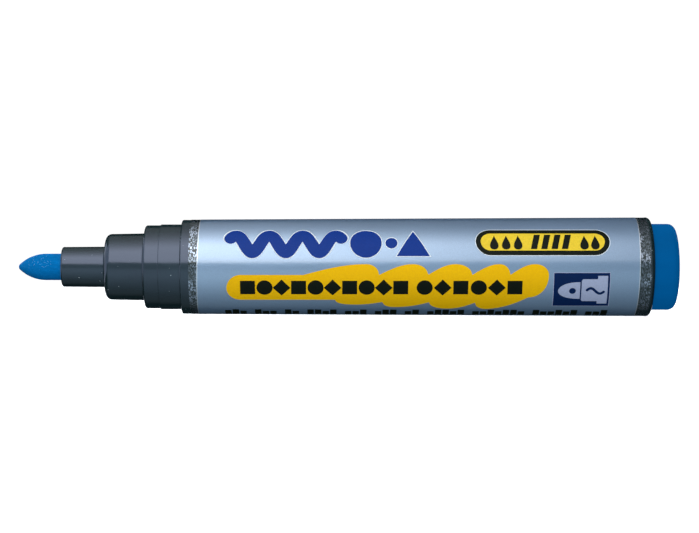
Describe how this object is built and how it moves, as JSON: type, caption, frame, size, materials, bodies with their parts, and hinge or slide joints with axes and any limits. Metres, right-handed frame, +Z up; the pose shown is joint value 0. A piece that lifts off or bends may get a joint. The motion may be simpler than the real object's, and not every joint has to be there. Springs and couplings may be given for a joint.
{
  "type": "felt tip marker",
  "caption": "Uncapped felt tip marker with a bullet nib, stepped front for a push-on cap, tapered labelled barrel with an ink reservoir inside, and a push-in tail plug.",
  "frame": {"origin": "middle of the underside of the overall box, under the marker's axis", "axes": "+X along the marker from the nib to the tail, +Z up; the marker lies on its side"},
  "size_m": [0.1232, 0.0186, 0.0186],
  "materials": {
    "nib_fibre": "bonded fibre, ground to a bullet point, wet with blue ink",
    "dark_plastic": "moulded polypropylene, dark grey, satin gloss",
    "label_film": "metallised film, silvery blue, printed",
    "blue_plastic": "moulded polypropylene, blue, satin",
    "reservoir_fibre": "polyester fibre rod soaked in ink",
    "clear_film": "thin film sleeve"
  },
  "bodies": {
    "barrel": {"barrel": "dark_plastic", "front_section": "dark_plastic", "label": "label_film", "reservoir_core": "reservoir_fibre", "reservoir_film": "clear_film"},
    "nib": {"nib": "nib_fibre"},
    "tail_plug": {"tail_plug": "blue_plastic"}
  },
  "joints": [
    {"name": "nib_pull", "type": "slide", "parent": "barrel", "child": "nib", "axis": [-1, 0, 0], "range_m": [0, 0.03]},
    {"name": "plug_pull", "type": "slide", "parent": "barrel", "child": "tail_plug", "axis": [1, 0, 0], "range_m": [0, 0.012]}
  ]
}
